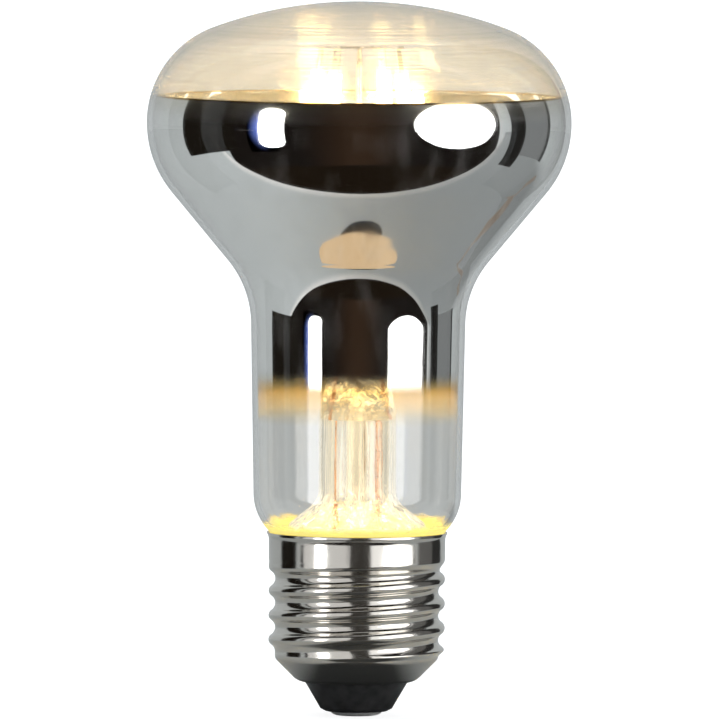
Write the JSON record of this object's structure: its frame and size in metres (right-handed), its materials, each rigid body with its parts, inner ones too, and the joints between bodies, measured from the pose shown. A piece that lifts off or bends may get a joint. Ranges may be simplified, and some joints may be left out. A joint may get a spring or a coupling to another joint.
{
  "type": "reflector bulb",
  "caption": "Clear-crowned reflector bulb with a mirror-lined cone and neck, LED filaments on a glass stem, and a right-hand screw cap with a black insulator.",
  "frame": {"origin": "middle of the centre contact's outer face", "axes": "+Z along the lamp's axis from the contact to the crown; +X to the right and -Y towards the viewer in the picture"},
  "size_m": [0.063, 0.063, 0.106],
  "materials": {
    "envelope_glass": "gloss",
    "mirror_film": "polished",
    "stem_glass": "gloss",
    "lead_copper": "satin",
    "nickel_wire": "satin",
    "filament_coat": "matte",
    "tab_steel": "satin",
    "cap_nickel": "polished",
    "cap_cement": "matte",
    "insulator_black": "satin",
    "contact_metal": "satin",
    "board_green": "satin",
    "chip_black": "matte",
    "capacitor_sleeve": "gloss",
    "ferrite": "matte",
    "winding_copper": "gloss",
    "resistor_body": "satin",
    "solder": "satin"
  },
  "bodies": {
    "root": {"glass_envelope": "envelope_glass", "mirror_lining": "mirror_film", "stem_glass": "stem_glass", "exhaust_tube": "stem_glass", "lead_wire_left": "lead_copper", "lead_wire_right": "lead_copper", "filament_arm_left": "nickel_wire", "filament_arm_right": "nickel_wire", "support_wire": "nickel_wire", "top_star": "tab_steel", "cap_shell": "cap_nickel", "cap_cement": "cap_cement", "cap_insulator": "insulator_black", "centre_contact": "contact_metal", "driver_board": "board_green", "bridge_rectifier": "chip_black", "driver_chip": "chip_black", "smoothing_capacitor": "capacitor_sleeve", "inductor_core": "ferrite", "inductor_winding": "winding_copper", "fuse_resistor": "resistor_body", "contact_solder": "solder", "shell_wire": "lead_copper", "shell_solder": "solder", "filament_1": "filament_coat", "filament_top_tab_1": "tab_steel", "filament_bottom_tab_1": "tab_steel", "filament_2": "filament_coat", "filament_top_tab_2": "tab_steel", "filament_bottom_tab_2": "tab_steel", "filament_3": "filament_coat", "filament_top_tab_3": "tab_steel", "filament_bottom_tab_3": "tab_steel", "filament_4": "filament_coat", "filament_top_tab_4": "tab_steel", "filament_bottom_tab_4": "tab_steel"}
  },
  "joints": []
}
